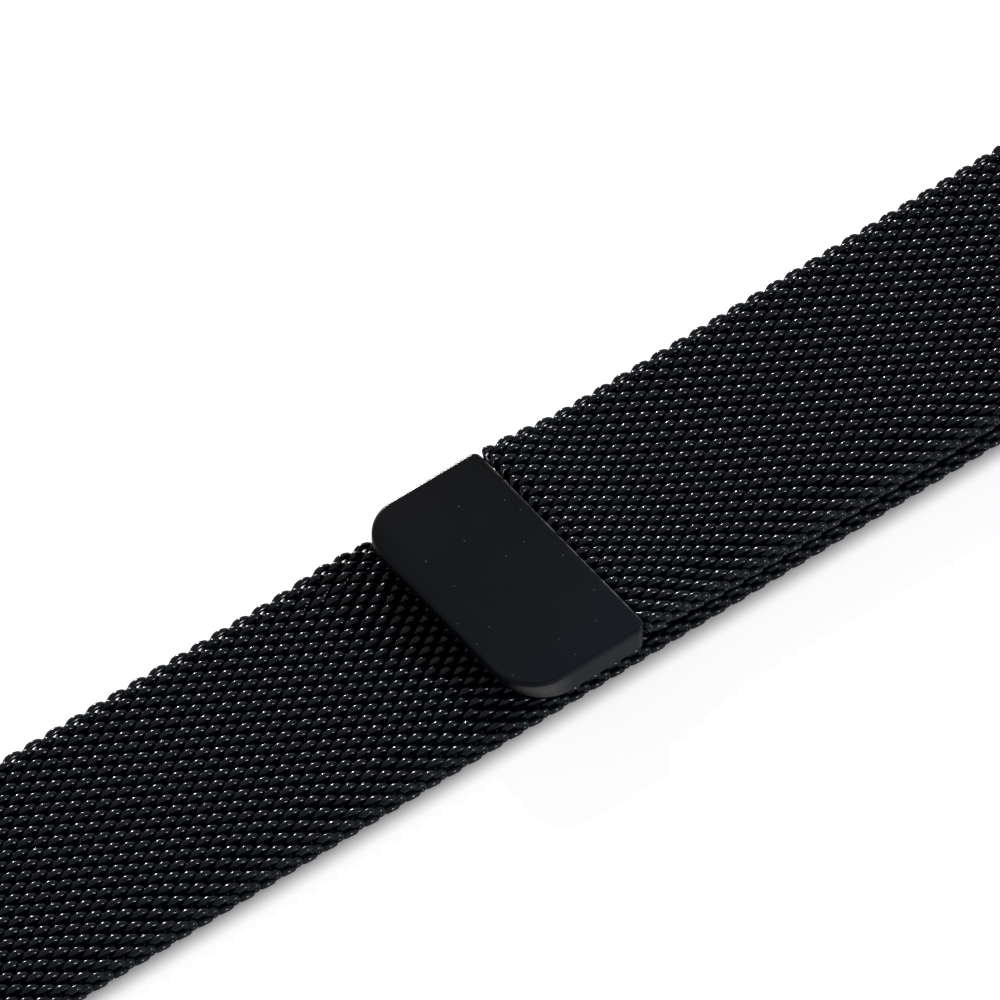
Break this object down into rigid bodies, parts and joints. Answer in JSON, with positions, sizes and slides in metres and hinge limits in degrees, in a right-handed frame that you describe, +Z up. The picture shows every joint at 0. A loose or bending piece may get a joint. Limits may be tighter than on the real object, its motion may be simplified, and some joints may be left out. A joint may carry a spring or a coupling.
{
  "type": "milanese mesh watch band",
  "caption": "Black woven wire mesh watch band, folded through a ring and closed by a magnetic tab, with quick release spring bars at both ends.",
  "frame": {"origin": "on the resting face of the lower mesh layer, under the middle of the magnetic tab", "axes": "+X along the band from the end piece to the ring, +Y across the band, +Z up through the tab"},
  "size_m": [0.1421, 0.024, 0.0057],
  "materials": {
    "black_mesh": "gloss",
    "satin_black": "satin",
    "black_steel": "satin",
    "polished_black": "gloss",
    "plain_steel": "satin",
    "magnet_plating": "polished",
    "tray_plastic": "matte"
  },
  "bodies": {
    "center_strap": {"mesh_center": "black_mesh"},
    "left_strap_1": {"mesh_left_1": "black_mesh"},
    "left_strap_2": {"mesh_left_2": "black_mesh"},
    "left_strap_3": {"mesh_left_3": "black_mesh"},
    "left_strap_4": {"mesh_left_4": "black_mesh"},
    "left_strap_5": {"mesh_left_5": "black_mesh", "end_piece_a": "polished_black", "end_retaining_wire": "plain_steel", "spring_bar_a_barrel": "plain_steel", "spring_bar_a_fixed_tip": "plain_steel", "spring_bar_a_spring": "plain_steel"},
    "right_strap_1": {"mesh_right_1": "black_mesh"},
    "right_strap_2": {"mesh_right_2": "black_mesh"},
    "right_strap_3": {"mesh_right_3": "black_mesh"},
    "right_strap_4": {"mesh_right_4": "black_mesh"},
    "right_strap_5": {"mesh_right_5": "black_mesh"},
    "fold": {"mesh_fold": "black_mesh"},
    "top_strap_5": {"mesh_top_5": "black_mesh"},
    "top_strap_4": {"mesh_top_4": "black_mesh"},
    "top_strap_3": {"mesh_top_3": "black_mesh"},
    "top_strap_2": {"mesh_top_2": "black_mesh"},
    "tab": {"mesh_top_1": "black_mesh", "tab_cover": "satin_black", "tab_base_plate": "black_steel", "tab_magnets": "magnet_plating", "tab_magnet_tray": "tray_plastic", "tab_yoke": "plain_steel", "tab_retaining_wire": "plain_steel"},
    "ring": {"ring": "polished_black", "ring_hinge_pin": "plain_steel"},
    "end_link": {"end_link_b": "polished_black", "spring_bar_b_barrel": "plain_steel", "spring_bar_b_fixed_tip": "plain_steel", "spring_bar_b_spring": "plain_steel"},
    "release_a": {"spring_bar_a_sliding_tip": "plain_steel", "spring_bar_a_lever": "plain_steel"},
    "release_b": {"spring_bar_b_sliding_tip": "plain_steel", "spring_bar_b_lever": "plain_steel"}
  },
  "joints": [
    {"name": "left_bend_1", "type": "hinge", "parent": "center_strap", "child": "left_strap_1", "pos_m": [-0.0072, 0, 0.001], "axis": [0, -1, 0], "range_deg": [-20, 20]},
    {"name": "left_bend_2", "type": "hinge", "parent": "left_strap_1", "child": "left_strap_2", "pos_m": [-0.018, 0, 0.001], "axis": [0, -1, 0], "range_deg": [-20, 20]},
    {"name": "left_bend_3", "type": "hinge", "parent": "left_strap_2", "child": "left_strap_3", "pos_m": [-0.0288, 0, 0.001], "axis": [0, -1, 0], "range_deg": [-20, 20]},
    {"name": "left_bend_4", "type": "hinge", "parent": "left_strap_3", "child": "left_strap_4", "pos_m": [-0.0396, 0, 0.001], "axis": [0, -1, 0], "range_deg": [-20, 20]},
    {"name": "left_bend_5", "type": "hinge", "parent": "left_strap_4", "child": "left_strap_5", "pos_m": [-0.0504, 0, 0.001], "axis": [0, -1, 0], "range_deg": [-20, 20]},
    {"name": "right_bend_1", "type": "hinge", "parent": "center_strap", "child": "right_strap_1", "pos_m": [0.0072, 0, 0.001], "axis": [0, 1, 0], "range_deg": [0, 18]},
    {"name": "right_bend_2", "type": "hinge", "parent": "right_strap_1", "child": "right_strap_2", "pos_m": [0.018, 0, 0.001], "axis": [0, 1, 0], "range_deg": [0, 18]},
    {"name": "right_bend_3", "type": "hinge", "parent": "right_strap_2", "child": "right_strap_3", "pos_m": [0.0288, 0, 0.001], "axis": [0, 1, 0], "range_deg": [0, 18]},
    {"name": "right_bend_4", "type": "hinge", "parent": "right_strap_3", "child": "right_strap_4", "pos_m": [0.0396, 0, 0.001], "axis": [0, 1, 0], "range_deg": [0, 18]},
    {"name": "right_bend_5", "type": "hinge", "parent": "right_strap_4", "child": "right_strap_5", "pos_m": [0.0504, 0, 0.001], "axis": [0, 1, 0], "range_deg": [0, 18]},
    {"name": "fold_bend", "type": "hinge", "parent": "right_strap_5", "child": "fold", "pos_m": [0.0594, 0, 0.001], "axis": [0, 1, 0], "range_deg": [0, 15]},
    {"name": "top_bend_5", "type": "hinge", "parent": "fold", "child": "top_strap_5", "pos_m": [0.0622, 0, 0.0047], "axis": [0, 1, 0], "range_deg": [0, 20]},
    {"name": "top_bend_4", "type": "hinge", "parent": "top_strap_5", "child": "top_strap_4", "pos_m": [0.0504, 0, 0.00352], "axis": [0, 1, 0], "range_deg": [0, 20]},
    {"name": "top_bend_3", "type": "hinge", "parent": "top_strap_4", "child": "top_strap_3", "pos_m": [0.0396, 0, 0.00338], "axis": [0, 1, 0], "range_deg": [0, 20]},
    {"name": "top_bend_2", "type": "hinge", "parent": "top_strap_3", "child": "top_strap_2", "pos_m": [0.0288, 0, 0.00324], "axis": [0, 1, 0], "range_deg": [0, 20]},
    {"name": "tab_bend", "type": "hinge", "parent": "top_strap_2", "child": "tab", "pos_m": [0.018, 0, 0.0031], "axis": [0, 1, 0], "range_deg": [0, 20]},
    {"name": "ring_swing", "type": "hinge", "parent": "fold", "child": "ring", "pos_m": [0.0622, 0, 0.00285], "axis": [0, 1, 0], "range_deg": [-75, 60]},
    {"name": "link_swing", "type": "hinge", "parent": "ring", "child": "end_link", "pos_m": [0.07092, 0, 0.0017], "axis": [0, 1, 0], "range_deg": [-60, 60]},
    {"name": "release_slide_a", "type": "slide", "parent": "left_strap_5", "child": "release_a", "axis": [0, 1, 0], "range_m": [0, 0.0012], "stiffness_N_per_m": 400, "springref_m": -0.002, "deforming": ["spring_bar_a_spring"]},
    {"name": "release_slide_b", "type": "slide", "parent": "end_link", "child": "release_b", "axis": [0, 1, 0], "range_m": [0, 0.0012], "stiffness_N_per_m": 400, "springref_m": -0.002, "deforming": ["spring_bar_b_spring"]}
  ]
}
